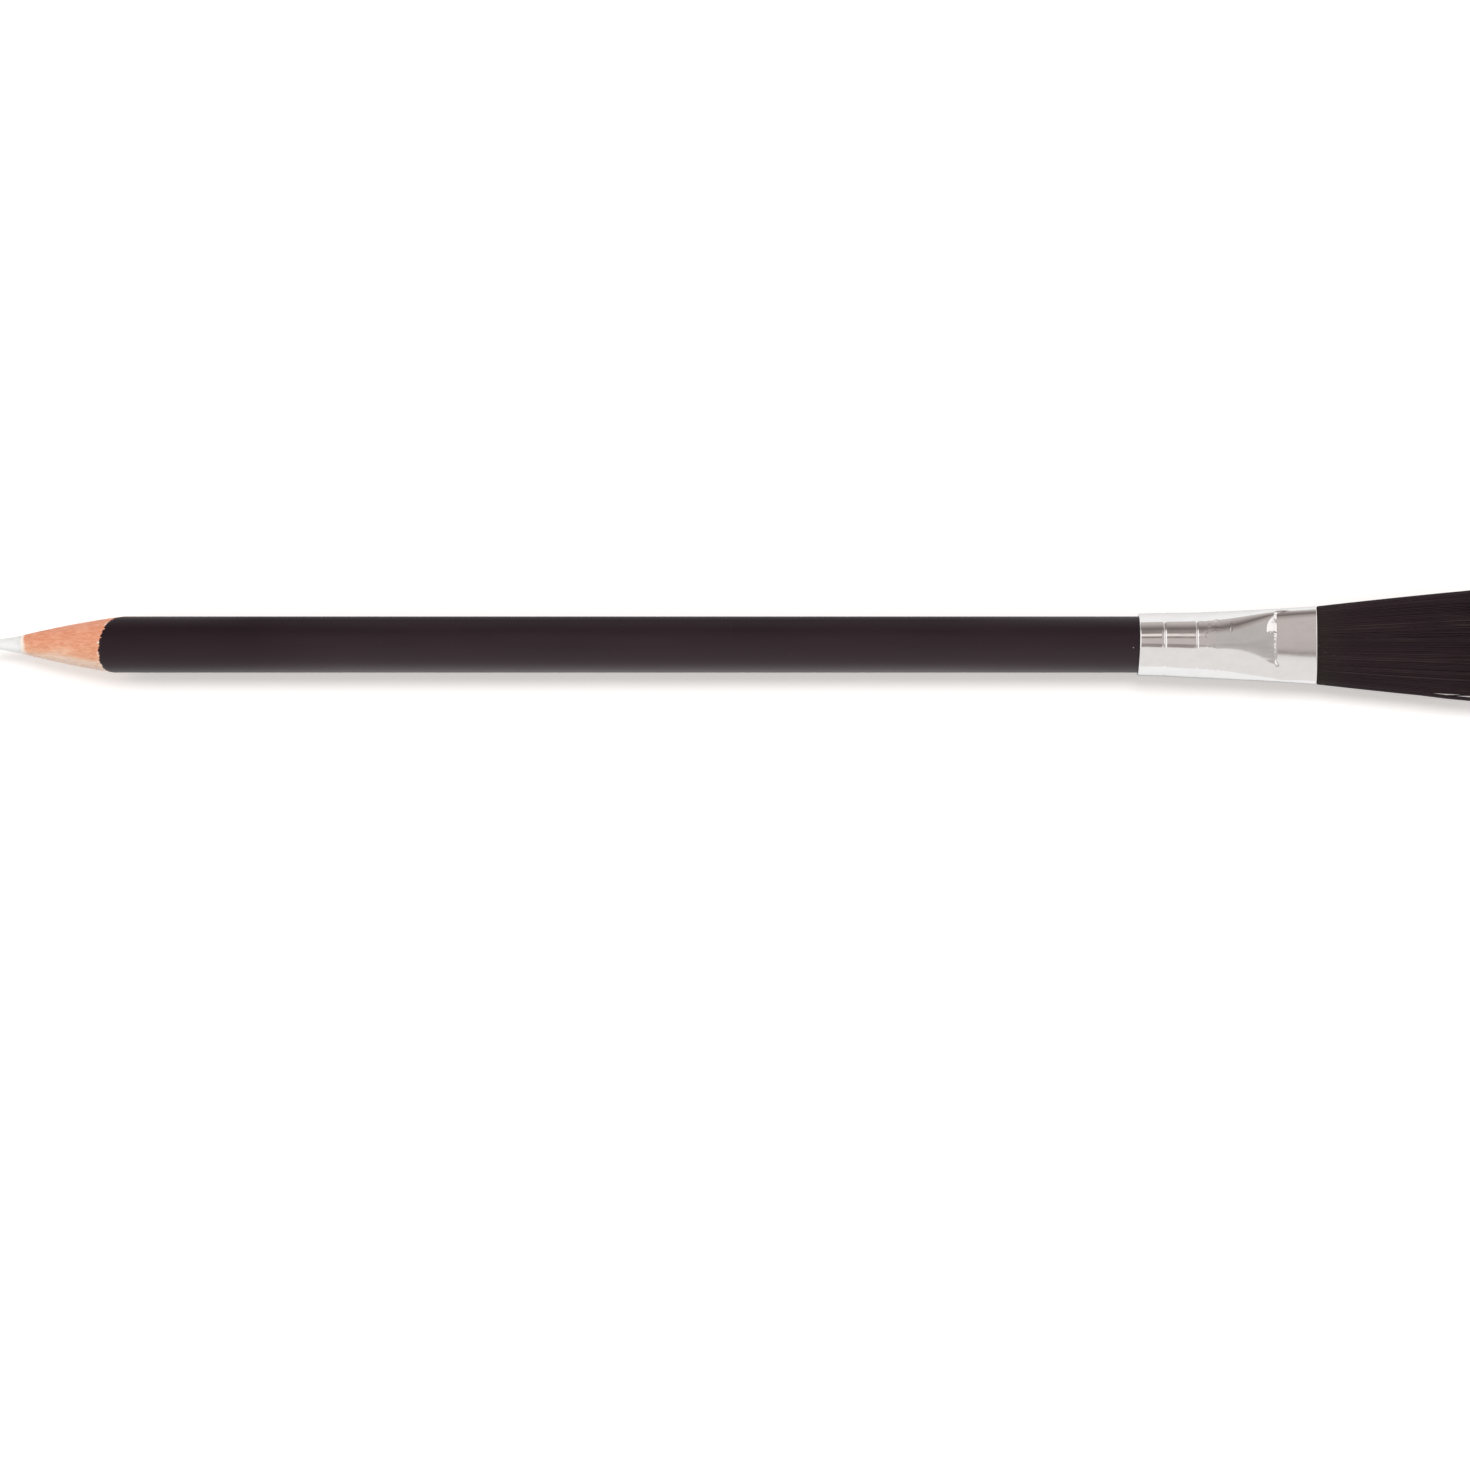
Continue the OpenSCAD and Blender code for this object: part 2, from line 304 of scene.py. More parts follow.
def place_noise(tree, stretch, detail=3.0, roughness=0.5, seed=0.0):
    """Noise fixed to the object; stretch is its frequency per millimetre along X, Y and Z"""
    coordinates = tree.nodes.new("ShaderNodeTexCoord")
    mapping = tree.nodes.new("ShaderNodeMapping")
    mapping.inputs["Scale"].default_value = [s / MM for s in stretch]
    mapping.inputs["Location"].default_value = (seed, seed, seed)
    texture = tree.nodes.new("ShaderNodeTexNoise")
    texture.inputs["Scale"].default_value = 1.0
    texture.inputs["Detail"].default_value = detail
    texture.inputs["Roughness"].default_value = roughness
    tree.links.new(coordinates.outputs["Object"], mapping.inputs["Vector"])
    tree.links.new(mapping.outputs["Vector"], texture.inputs["Vector"])
    return texture.outputs["Fac"]


def colour_ramp(tree, factor, stops):
    """Colours along a factor; stops are (position, colour)"""
    node = tree.nodes.new("ShaderNodeValToRGB")
    elements = node.color_ramp.elements
    while len(elements) < len(stops):
        elements.new(0.5)
    for element, (position, shade) in zip(elements, stops):
        element.position = position
        element.color = shade
    tree.links.new(factor, node.inputs["Fac"])
    return node.outputs["Color"]


def value_range(tree, factor, low, high, new_low, new_high):
    """A value moved from one range into another and held at its ends"""
    node = tree.nodes.new("ShaderNodeMapRange")
    node.inputs["From Min"].default_value = low
    node.inputs["From Max"].default_value = high
    node.inputs["To Min"].default_value = new_low
    node.inputs["To Max"].default_value = new_high
    tree.links.new(factor, node.inputs["Value"])
    return node.outputs["Result"]


def calculate(tree, operation, first, second=None):
    """A Math node whose inputs are sockets or numbers"""
    node = tree.nodes.new("ShaderNodeMath")
    node.operation = operation
    for socket, value in zip(node.inputs, (first, second)):
        if value is None:
            continue
        if isinstance(value, (int, float)):
            socket.default_value = value
        else:
            tree.links.new(value, socket)
    return node.outputs["Value"]


def mix_colours(tree, factor, first, second):
    """A mix of two colours; these and the factor are sockets or values"""
    node = tree.nodes.new("ShaderNodeMix")
    node.data_type = "RGBA"
    sockets = [s for s in node.inputs if s.type == "RGBA"]
    for socket, value in zip(sockets, (first, second)):
        if isinstance(value, tuple):
            socket.default_value = value
        else:
            tree.links.new(value, socket)
    if isinstance(factor, (int, float)):
        node.inputs["Factor"].default_value = factor
    else:
        tree.links.new(factor, node.inputs["Factor"])
    return next(s for s in node.outputs if s.type == "RGBA")


def axes_of(tree, space):
    """X, Y and Z of a point with space Object, or of a ray's direction in the world with Generated"""
    coordinates = tree.nodes.new("ShaderNodeTexCoord")
    axes = tree.nodes.new("ShaderNodeSeparateXYZ")
    tree.links.new(coordinates.outputs[space], axes.inputs["Vector"])
    return axes.outputs


def turn_round(tree):
    """The angle round the pencil in radians: 0 on top and positive towards +Y"""
    axes = axes_of(tree, "Object")
    return calculate(tree, "ARCTAN2", axes["Y"], calculate(tree, "SUBTRACT", axes["Z"], AXIS_Z * MM))


def stored_value(tree, name):
    """The number that add_values stored at each point"""
    node = tree.nodes.new("ShaderNodeAttribute")
    node.attribute_name = name
    return node.outputs["Fac"]


def bump(tree, shader, height, depth):
    """Fine relief of that depth in millimetres"""
    node = tree.nodes.new("ShaderNodeBump")
    node.inputs["Distance"].default_value = depth * MM
    tree.links.new(height, node.inputs["Height"])
    tree.links.new(node.outputs["Normal"], shader.inputs["Normal"])


def wood_material():
    """Sharpened softwood: fine lengthwise fibres, with painted light and shade that make it paler on the -Y
    flank and redder towards +Y
    """
    material, tree, shader = new_material("sharpened_wood", roughness=0.6, specular=0.25)
    fibres = place_noise(tree, (0.55, 3.4, 3.4), detail=5.0, roughness=0.72)
    bands = place_noise(tree, (0.12, 0.8, 0.8), detail=2.0, seed=7.0)
    flecks = place_noise(tree, (0.9, 4.2, 4.2), detail=2.0, seed=3.0)
    fine = colour_ramp(tree, fibres, [
        (0.30, colour(178, 98, 68)),
        (0.42, colour(218, 144, 110)),
        (0.54, colour(236, 172, 138)),
        (0.70, colour(255, 208, 178)),
    ])
    # Painted light and shade: a tone by the angle round the pencil, paler on the -Y flank and redder
    # towards +Y, wobbled by grain bands
    across = calculate(tree, "ADD", turn_round(tree), value_range(tree, bands, 0.3, 0.7, -0.25, 0.25))
    tone = colour_ramp(tree, value_range(tree, across, -1.25, 1.25, 0.0, 1.0), [
        (0.0, colour(255, 250, 242)),
        (0.17, colour(255, 238, 218)),
        (0.33, colour(242, 184, 150)),
        (0.45, colour(231, 164, 131)),
        (0.75, colour(228, 150, 118)),
        (1.0, colour(230, 158, 132)),
    ])
    grain_and_painted_flank_light = mix_colours(tree, 0.6, fine, tone)
    fleck = value_range(tree, flecks, 0.58, 0.7, 0.0, 0.55)
    speckled = mix_colours(tree, fleck, grain_and_painted_flank_light, colour(222, 128, 92))
    pale_edge = mix_colours(tree, stored_value(tree, "pale"), speckled, colour(253, 240, 229))
    tree.links.new(pale_edge, shader.inputs["Base Color"])
    bump(tree, shader, fibres, depth=0.03)
    return material


def eraser_material():
    """White vinyl eraser with faint grey smudges and a dull skin, and painted light that makes it whiter
    towards -Y
    """
    material, tree, shader = new_material("eraser_vinyl", roughness=0.55, specular=0.4)
    smudges = place_noise(tree, (0.7, 1.6, 1.6), detail=4.0, roughness=0.6)
    grains = place_noise(tree, (9.0, 9.0, 9.0), detail=2.0, seed=5.0)
    shade = colour_ramp(tree, smudges, [
        (0.30, colour(222, 221, 219)),
        (0.48, colour(230, 229, 227)),
        (0.72, colour(236, 235, 233)),
    ])
    # Painted light: the skin turns whiter towards -Y by the angle round the eraser
    painted_light_towards_minus_y = value_range(tree, turn_round(tree), -1.0, 0.8, 0.95, 0.0)
    skin = mix_colours(tree, painted_light_towards_minus_y, shade, colour(253, 252, 251))
    tree.links.new(skin, shader.inputs["Base Color"])
    tree.links.new(value_range(tree, smudges, 0.3, 0.7, 0.48, 0.64), shader.inputs["Roughness"])
    shader.inputs["Subsurface Weight"].default_value = 0.5
    shader.inputs["Subsurface Radius"].default_value = (1.0, 1.0, 0.95)
    shader.inputs["Subsurface Scale"].default_value = 1.2 * MM
    bump(tree, shader, grains, depth=0.015)
    return material


def lacquer_gloss(tree):
    """The lacquer's specular level, set by place as painted reflection: less towards +Y, more so over the
    middle, and less at the tip
    """
    turn = turn_round(tree)
    along = axes_of(tree, "Object")["X"]
    flanks = value_range(tree, turn, -1.0, 1.0, 0.6, 0.24)
    low_rim = value_range(tree, turn, -1.25, -0.7, 0.5, 0.0)
    high_rim = value_range(tree, turn, 0.6, 1.0, 0.0, -0.18)
    off_centre = calculate(tree, "ABSOLUTE", calculate(tree, "SUBTRACT", along, RIMS_CENTRE_X * MM))
    mid_length = value_range(tree, off_centre, RIMS_FULL * MM, RIMS_GONE * MM, 1.0, 0.0)
    rims = calculate(tree, "MULTIPLY", mid_length, calculate(tree, "ADD", low_rim, high_rim))
    at_tip = value_range(tree, along, TIP_LESS_TO_X * MM, TIP_LESS_FROM_X * MM, TIP_LESS, 0.0)
    gloss = calculate(tree, "ADD", flanks, calculate(tree, "ADD", rims, at_tip))
    return calculate(tree, "MAXIMUM", gloss, LEAST_GLOSS)


def near_pale_spot(tree):
    """0.8 at the pale spot on the lacquer and 0 around it"""
    coordinates = tree.nodes.new("ShaderNodeTexCoord")
    distance = tree.nodes.new("ShaderNodeVectorMath")
    distance.operation = "DISTANCE"
    distance.inputs[1].default_value = [v * MM for v in PALE_SPOT]
    tree.links.new(coordinates.outputs["Object"], distance.inputs[0])
    return value_range(tree, distance.outputs["Value"], 0.03 * MM, 0.09 * MM, 0.8, 0.0)


def lacquer_material():
    """Satin black lacquer with faint orange peel, dust and one pale spot"""
    material, tree, shader = new_material("black_lacquer", roughness=0.48, specular=0.42)
    clouds = place_noise(tree, (0.05, 0.25, 0.25), detail=3.0)
    peel = place_noise(tree, (0.9, 1.6, 1.6), detail=2.0, seed=4.0)
    dust = place_noise(tree, (2.6, 3.4, 3.4), detail=1.0, seed=9.0)
    body = colour_ramp(tree, clouds, [(0.35, colour(30, 19, 24)), (0.65, colour(35, 23, 28))])
    dusty = mix_colours(tree, value_range(tree, dust, 0.76, 0.82, 0.0, 0.25), body, colour(86, 74, 78))
    spotted = mix_colours(tree, near_pale_spot(tree), dusty, colour(206, 196, 198))
    tree.links.new(spotted, shader.inputs["Base Color"])
    tree.links.new(value_range(tree, clouds, 0.3, 0.7, 0.44, 0.52), shader.inputs["Roughness"])
    tree.links.new(lacquer_gloss(tree), shader.inputs["Specular IOR Level"])
    shader.inputs["Specular Tint"].default_value = (1.0, 0.86, 0.9, 1.0)
    shader.inputs["Sheen Weight"].default_value = 0.1
    shader.inputs["Sheen Roughness"].default_value = 0.4
    shader.inputs["Sheen Tint"].default_value = (1.0, 0.88, 0.92, 1.0)
    bump(tree, shader, peel, depth=0.004)
    return material


def metal_material():
    """Bright drawn aluminium with draw marks and dull smudges"""
    material, tree, shader = new_material("drawn_aluminium", roughness=0.09, metallic=1.0)
    draw_marks = place_noise(tree, (0.12, 9.0, 9.0), detail=3.0, roughness=0.6)
    smudges = place_noise(tree, (0.6, 0.9, 0.9), detail=3.0, seed=2.0)
    shade = colour_ramp(tree, smudges, [(0.35, colour(249, 248, 248)), (0.6, colour(253, 252, 252))])
    tree.links.new(shade, shader.inputs["Base Color"])
    tree.links.new(value_range(tree, smudges, 0.3, 0.75, 0.06, 0.1), shader.inputs["Roughness"])
    bump(tree, shader, draw_marks, depth=0.0008)
    return material


def bristle_material():
    """Near-black synthetic filaments with a few specks of dust; each hair has its own shade"""
    material, tree, shader = new_material("black_bristles", roughness=0.5, specular=0.3)
    patches = place_noise(tree, (0.12, 0.6, 0.6), detail=2.0)
    own_part = calculate(tree, "MULTIPLY", stored_value(tree, "shade"), 0.5)
    factor = calculate(tree, "ADD", own_part, calculate(tree, "MULTIPLY", patches, 0.5))
    shade = colour_ramp(tree, factor, [
        (0.25, colour(40, 27, 32)),
        (0.5, colour(45, 31, 37)),
        (0.66, colour(49, 35, 40)),
        (0.78, colour(63, 50, 49)),
    ])
    along = axes_of(tree, "Object")["X"]
    near_mouth = value_range(tree, along, (MOUTH_X + 1.5) * MM, (MOUTH_X + 4.5) * MM, 0.6, 0.0)
    olive = mix_colours(tree, near_mouth, shade, colour(46, 39, 35))
    dust = place_noise(tree, (2.2, 2.8, 2.8), detail=1.0, seed=13.0)
    dusty = mix_colours(tree, value_range(tree, dust, 0.74, 0.8, 0.0, 0.5), olive, colour(112, 98, 98))
    tree.links.new(dusty, shader.inputs["Base Color"])
    return material


def hidden_material(name, first, second, roughness):
    """Adhesive, glue and resin inside the assembly, slightly cloudy"""
    material, tree, shader = new_material(name, roughness=roughness)
    clouds = place_noise(tree, (0.8, 0.8, 0.8), detail=3.0)
    shade = colour_ramp(tree, clouds, [(0.35, first), (0.65, second)])
    tree.links.new(shade, shader.inputs["Base Color"])
    return material


# Sharpened end


LEAN = np.array([
    1.0,
    -math.tan(math.radians(CONE_LEAN_SIDE)),
    math.tan(math.radians(CONE_LEAN_UP)),
])
LEAN = LEAN / np.linalg.norm(LEAN)


def cone_station(radius, angles):
    """How far behind the pivot the sharpener's bowed cone reaches that radius from the pencil's axis"""
    low = np.full_like(angles, SEARCH_LOW)
    high = np.full_like(angles, SEARCH_HIGH)
    slope = math.tan(math.radians(CONE_ANGLE))
    for _ in range(HALVINGS):
        middle = (low + high) / 2
        point = np.stack([middle, radius * np.cos(angles), radius * np.sin(angles)], axis=-1)
        along = point @ LEAN
        off_axis = np.linalg.norm(point - along[:, None] * LEAN, axis=1)
        outside = off_axis > CONE_FRONT_R + along * slope - CONE_BOW * along**2
        low = np.where(outside, middle, low)
        high = np.where(outside, high, middle)
    return (low + high) / 2


def chips(angles):
    """How far the lacquer's front edge has chipped back at each angle"""
    points = np.stack([3 * np.cos(angles), 3 * np.sin(angles), np.zeros_like(angles)], axis=-1)
    coarse = noise_field(points, 1.3, 11.0)
    fine = noise_field(points, 6.2, 17.0)
    return COARSE_CHIP * np.clip(coarse + 0.1, 0, 1) + FINE_CHIP * np.clip(fine - 0.02, 0, 1)


def frayed(angles):
    """Where pale torn fibres stand along the lacquer's front edge"""
    points = np.stack([4 * np.cos(angles), 4 * np.sin(angles), np.zeros_like(angles)], axis=-1)
    return smooth(noise_field(points, 3.4, 29.0), 0.12, 0.3)


def cut_wood(x, radius, share, angles):
    """A ring on the cone at a share of the way out from the bore, with fibres and the blade's chatter"""
    surface = round_ring(PIVOT_X + x, radius, angles)
    fibres = noise_field(surface, (0.25, 3.2, 3.2), 5.0)
    chatter = noise_field(surface, (1.1, 0.35, 0.35), 8.0)
    relief = (0.02 * fibres + 0.012 * chatter) * min(1.0, share * 12, (1 - share) * 12)
    return round_ring(PIVOT_X + x, radius + relief, angles)


def half_ring_ends(rows, columns):
    """End faces of rings that run out along one side of a half tube and back along the other"""
    ring_size = 2 * columns
    last = (rows - 1) * ring_size
    ends = []
    for i in range(columns - 1):
        other = ring_size - 1 - i
        ends.append([i + 1, i, other, other - 1])
        ends.append([last + i, last + i + 1, last + other - 1, last + other])
    return ends


def slat(name, side, material):
    """Half of the wooden casing, sharpened at its front, with a feather of wood on the eraser"""
    columns = 150
    slack = math.asin(GLUE_HALF / CASING_R)
    spread = np.linspace(slack, math.pi - slack, columns)
    angles = spread if side > 0 else spread + math.pi
    bore = NOSE_R + WOOD_STEP
    front = cone_station(bore, angles)
    edge = PIVOT_X + cone_station(WOOD_R, angles) + chips(angles)
    torn = frayed(angles)
    # How far the wood feathers out over the eraser, and how far its pale rim reaches back
    feather = 0.3 + 0.2 * noise_field(round_ring(0, bore, angles), 3.4, 41.0)
    halo = 0.4 - 0.22 * np.cos(angles) + 0.3 * noise_field(round_ring(0, bore, angles), 4.5, 45.0)
    wrap = NOSE_R + FEATHER_LIFT + (front - feather) * math.tan(math.radians(NOSE_ANGLE))
    outer = [round_ring(PIVOT_X + front - feather, wrap, angles)]
    inner = [round_ring(PIVOT_X + front - feather, wrap - FEATHER_T, angles)]
    pale = [np.ones(columns)]
    for share in np.linspace(0, 1, 90):
        radius = bore + (WOOD_R - bore) * share
        x = cone_station(radius, angles)
        outer.append(cut_wood(x, radius, share, angles))
        tip_pale = np.clip(1.1 - (x - front) / np.maximum(halo, 0.1), 0, 1)
        torn_pale = 0.95 * torn * smooth(PIVOT_X + x, edge - 0.42, edge - 0.12)
        pale.append(np.maximum(tip_pale, torn_pale))
        inner.append(round_ring(PIVOT_X + x, bore - BORE_LAP, angles))
    under_lacquer = [(x, WOOD_R) for x in np.linspace(BEHIND_CONE_X, LACQUER_HIGH.x - 0.02, 28)]
    bare = [(x, CASING_R) for x in np.linspace(LACQUER_HIGH.x, SLAT_HIGH.x, 4)]
    for x, radius in under_lacquer + bare:
        outer.append(round_ring(x, radius, angles))
        inner.append(round_ring(x, bore - BORE_LAP, angles))
        pale.append(np.zeros(columns))
    rings = np.concatenate([np.array(outer), np.array(inner)[:, ::-1]], axis=1)
    rows = len(rings)
    faces = grid_faces(rows, 2 * columns) + half_ring_ends(rows, columns)
    piece = make_piece(name, rings, faces, material, corner=50)
    values = np.concatenate([np.array(pale), np.zeros((rows, columns))], axis=1)
    add_values(piece, "pale", values)
    return piece


def eraser(material):
    """The eraser core with its worn conical nose"""
    columns = 96
    angles = np.linspace(0, 2 * math.pi, columns, endpoint=False)
    rings = []
    for turn in np.linspace(4, 84, 14):
        lift = NOSE_TIP_R * (1 - math.cos(math.radians(turn)))
        radius = NOSE_TIP_R * math.sin(math.radians(turn)) * 0.98
        rings.append((-NOSE_LENGTH + lift * 0.95, radius))
    for s in np.linspace(-NOSE_LENGTH + NOSE_TIP_R, 0, 70):
        rings.append((s, NOSE_R + s * math.tan(math.radians(NOSE_ANGLE))))
    rings += [(s, NOSE_R) for s in np.linspace(0.3, CORE_HIGH.x - PIVOT_X, 12)]
    stack = []
    for s, radius in rings:
        lean = min(s, 0.0)
        ring = round_ring(PIVOT_X + s, radius, angles, lean * LEAN[1], lean * LEAN[2])
        wear = noise_field(ring, 1.4, 21.0) * 0.028 + noise_field(ring, (3.0, 6.0, 6.0), 23.0) * 0.008
        held = 1 - smooth(s, -0.5, 0.0)
        wear = np.minimum(wear, 0.012) * held * min(1.0, radius / NOSE_TIP_R)
        stack.append(round_ring(PIVOT_X + s, radius + wear, angles, lean * LEAN[1], lean * LEAN[2]))
    points, faces = ring_stack(stack)
    return make_piece("eraser_nose", points, faces, material, corner=50)


def lacquer(material):
    """The lacquer as a thin tube whose front lies in the sharpened cone"""
    columns = 480
    angles = np.linspace(0, 2 * math.pi, columns, endpoint=False)
    chipped = chips(angles)
    inner_front = PIVOT_X + cone_station(WOOD_R, angles) + chipped
    outer_front = PIVOT_X + cone_station(BARREL_R, angles) + 0.35 * chipped
    outer_front = np.maximum(outer_front, inner_front + 0.2)
    back = LACQUER_HIGH.x
    rows = []
    for share in (0.0, 0.5, 0.9):
        radius = WOOD_R + (BARREL_R - WOOD_R) * share
        rows.append(round_ring(inner_front + (outer_front - inner_front) * share, radius, angles))
    rows.append(round_ring(outer_front + 0.06, BARREL_R, angles))
    for share in np.linspace(0.05, 1, 24):
        rows.append(round_ring(outer_front + (BEHIND_CONE_X - outer_front) * share, BARREL_R, angles))
    for x in np.linspace(BEHIND_CONE_X + 4, back, 30):
        rows.append(round_ring(x, BARREL_R, angles))
    rows.append(round_ring(back, WOOD_R, angles))
    rows.append(round_ring(BEHIND_CONE_X, WOOD_R, angles))
    rings = np.array(rows)
    faces = grid_faces(len(rings), columns, joined_ends=True)
    return make_piece("lacquer_skin", rings, faces, material, corner=40)


# Ferrule


def half_width(u):
    """Half width of the ferrule at u millimetres from its back edge"""
    share = u / FERRULE_LENGTH
    flare = MOUTH_HALF_WIDTH - COLLAR_R
    return COLLAR_R + flare * ((1 - FLARE_BEND) * share + FLARE_BEND * share**2)


def plain_half_height(u):
    """Half height of the ferrule before its corners are rounded"""
    pressed = ramp(u, ROUND_TO, CREASE_FROM, COLLAR_R, CREASE_HALF_HEIGHT)
    pressed = pressed - ramp(u, PRESS_FROM, ROUND_TO, 0, PRESS_LEAD) * (u < ROUND_TO)
    pressed = pressed - ramp(u, ROUND_TO, ROUND_TO + 2, PRESS_LEAD, 0) * (u >= ROUND_TO)
    step = ramp(u, CREASE_FROM, CREASE_TO, CREASE_HALF_HEIGHT, STEP_HALF_HEIGHT)
    mouth = ramp(u, CREASE_TO, FERRULE_LENGTH, STEP_HALF_HEIGHT, MOUTH_HALF_HEIGHT)
    pressed = np.minimum(half_width(u), pressed)
    return np.where(u <= CREASE_FROM, pressed, np.where(u <= CREASE_TO, step, mouth))


def plain_power(u):
    """How square the ferrule's section is, from 2 where it is round"""
    pressed = 2 + (CREASE_POWER - 2) * ramp(u, FLAT_FROM, CREASE_FROM, 0, 1) ** FLAT_GROWTH
    mouth = ramp(u, CREASE_FROM, CREASE_TO, CREASE_POWER, MOUTH_POWER)
    return np.where(u <= CREASE_FROM, pressed, mouth)


def eased(shape, u):
    """A shape function with its corners rounded, widely at the press and tightly at the crease"""
    reach = ramp(u, ROUND_TO + 2, CREASE_FROM - 1, 0.9, 0.09)
    offsets = np.linspace(-1, 1, 9)
    values = [shape(np.clip(u + reach * offset, 0, FERRULE_LENGTH)) for offset in offsets]
    return np.mean(values, axis=0)


def crimp_at(u):
    """How deep the two crimps press the sheet in"""
    depth = 0
    for crimp in CRIMPS:
        share = np.clip(abs(u - crimp["centre"]) / crimp["reach"], 0, 1)
        depth = depth + crimp["depth"] * (0.5 + 0.5 * np.cos(math.pi * share))
    return depth


def faint_mark(u, turns):
    """A short tool mark on the upper side of the collar"""
    across = np.exp(-(((np.degrees(turns) - FAINT_TURN) / FAINT_SPREAD) ** 2))
    share = np.clip(abs(u - FAINT_MARK) / FAINT_REACH, 0, 1)
    return FAINT_DEPTH * (0.5 + 0.5 * np.cos(math.pi * share)) * across


def pinch(u, y):
    """How much lower the sheet lies in the pinched corner before the crease, as a share of its height"""
    towards_side = ramp(y, PINCH_INNER_Y, PINCH_OUTER_Y, 0, 1) ** PINCH_BULGE
    towards_middle = (PINCH_INNER_Y - y) / PINCH_BLUNT
    edge = PINCH_FROM + (CREASE_FROM - PINCH_FROM) * np.maximum(towards_side, towards_middle)
    pressed = PINCH_SLOPE * np.maximum(np.minimum(u, CREASE_FROM) - edge, 0)
    fade = 1 - ramp(u, CREASE_FROM, CREASE_TO, 0, 1)
    return 1 - pressed * fade / plain_half_height(u)


def drawn_out(u, turns):
    """Stations as the shape functions see them: the crease's step is longer on -Y and at both rims"""
    step = CREASE_TO - CREASE_FROM
    cosine = np.cos(turns)
    length = step + FLANK_STEP * smooth(abs(cosine), 0.76, 0.88)
    length = length + CORNER_STEP * smooth(-cosine, 0.42, 0.56)
    in_step = CREASE_FROM + (u - CREASE_FROM) * step / length
    past_step = CREASE_TO + (u - CREASE_FROM - length) * (FERRULE_LENGTH - CREASE_TO) / (
        FERRULE_LENGTH - CREASE_FROM - length
    )
    return np.where(u <= CREASE_FROM, u, np.where(u <= CREASE_FROM + length, in_step, past_step))


def ferrule_points(u, inset, turns):
    """Points of the sheet at each station and turn; u and inset are columns"""
    seen = drawn_out(u, turns)
    power = eased(plain_power, seen)
    sine, cosine = np.sin(turns), np.cos(turns)
    reach = (abs(cosine) ** power + abs(sine) ** power) ** (-1 / power)
    less = inset + crimp_at(u) + faint_mark(u, turns)
    y = (half_width(u) - less) * reach * cosine
    height = np.minimum(eased(plain_half_height, seen), COLLAR_R)
    height = height * np.where(sine > 0, pinch(u, y), 1)
    z = (height - less) * reach * sine
    slant = LIP_SLANT * np.clip(0.3 - y / COLLAR_R, 0, 1) * (1 - smooth(u, 0.5, 3.0))
    x = FERRULE_X + u - slant
    return np.stack([x, y + OFF_CENTRE * smooth(u, 2.0, 9.0), AXIS_Z + z], axis=-1)


def ferrule_stations():
    """Stations along the sheet, close together at the crimps, the tool mark and the crease"""
    spots = [(crimp["centre"], 0.32) for crimp in CRIMPS]
    spots += [(FAINT_MARK, 0.36), (CREASE_FROM - 0.3, 1.1)]
    lip = SHEET_T / 2
    stations = [lip]
    while stations[-1] < FERRULE_LENGTH - lip:
        here = stations[-1]
        near = any(abs(here - spot) < reach for spot, reach in spots)
        stations.append(here + (CLOSE_STEP if near else WIDE_STEP))
    stations[-1] = FERRULE_LENGTH - lip
    return stations


def sheet_profile():
    """Stations and insets once round the sheet: outside, mouth lip, inside and back lip"""
    lip = SHEET_T / 2
    outside = [(u, 0.0) for u in ferrule_stations()]
    mouth = [
        (FERRULE_LENGTH - lip + lip * math.sin(a), lip - lip * math.cos(a))
        for a in np.radians([30, 55, 75, 90, 110, 140])
    ]
    inside = [(u, SHEET_T) for u in np.linspace(FERRULE_LENGTH - lip, lip, 60)]
    back = [
        (lip - lip * math.sin(a), lip + lip * math.cos(a))
        for a in np.radians([40, 70, 90, 105, 125, 150])
    ]
    return np.array(outside + mouth + inside + back)


def sheet_waves(u, points):
    """How uneven the sheet is: faintly all over, more after the second crimp and before the crease"""
    waves = 0.006 * noise_field(points, (0.3, 0.55, 0.55), 31.0)
    waves += 0.0012 * noise_field(points, (1.1, 1.5, 1.5), 37.0)
    handled = smooth(u, 8.8, 9.4) * (1 - smooth(u, 10.6, 12.0))
    waves += 0.016 * handled * noise_field(points, (3.2, 3.6, 3.6), 43.0)
    wrinkled = smooth(u, 17.4, 19.2) * (1 - smooth(u, 19.25, 19.4))
    waves += 0.02 * wrinkled * noise_field(points, (0.7, 2.6, 0.2), 47.0)
    return waves


def ferrule(material):
    """The pressed sheet, with rounded lips at both ends"""
    turns = np.linspace(0, 2 * math.pi, FERRULE_COLUMNS, endpoint=False)[None, :]
    profile = sheet_profile()
    u, inset = profile[:, :1], profile[:, 1:]
    even = ferrule_points(u, inset, turns)
    points = ferrule_points(u, inset + sheet_waves(u, even), turns)
    faces = grid_faces(len(profile), FERRULE_COLUMNS, joined_ends=True)
    return make_piece("ferrule_sheet", points, faces, material, corner=60)


# Brush


def brush_half_width(d):
    """Half width of the brush at d millimetres outside the mouth"""
    inside = MOUTH_HALF_WIDTH - SHEET_T - HAIR_R
    outside = MOUTH_HALF_WIDTH + BRUSH_SPREAD * d - BRUSH_CURL * d * d - HAIR_R
    outside = outside - TIP_CURL * np.maximum(d - TIP_CURL_FROM, 0) ** 2
    return inside + (outside - inside) * smooth(d, -0.02, 0.2)


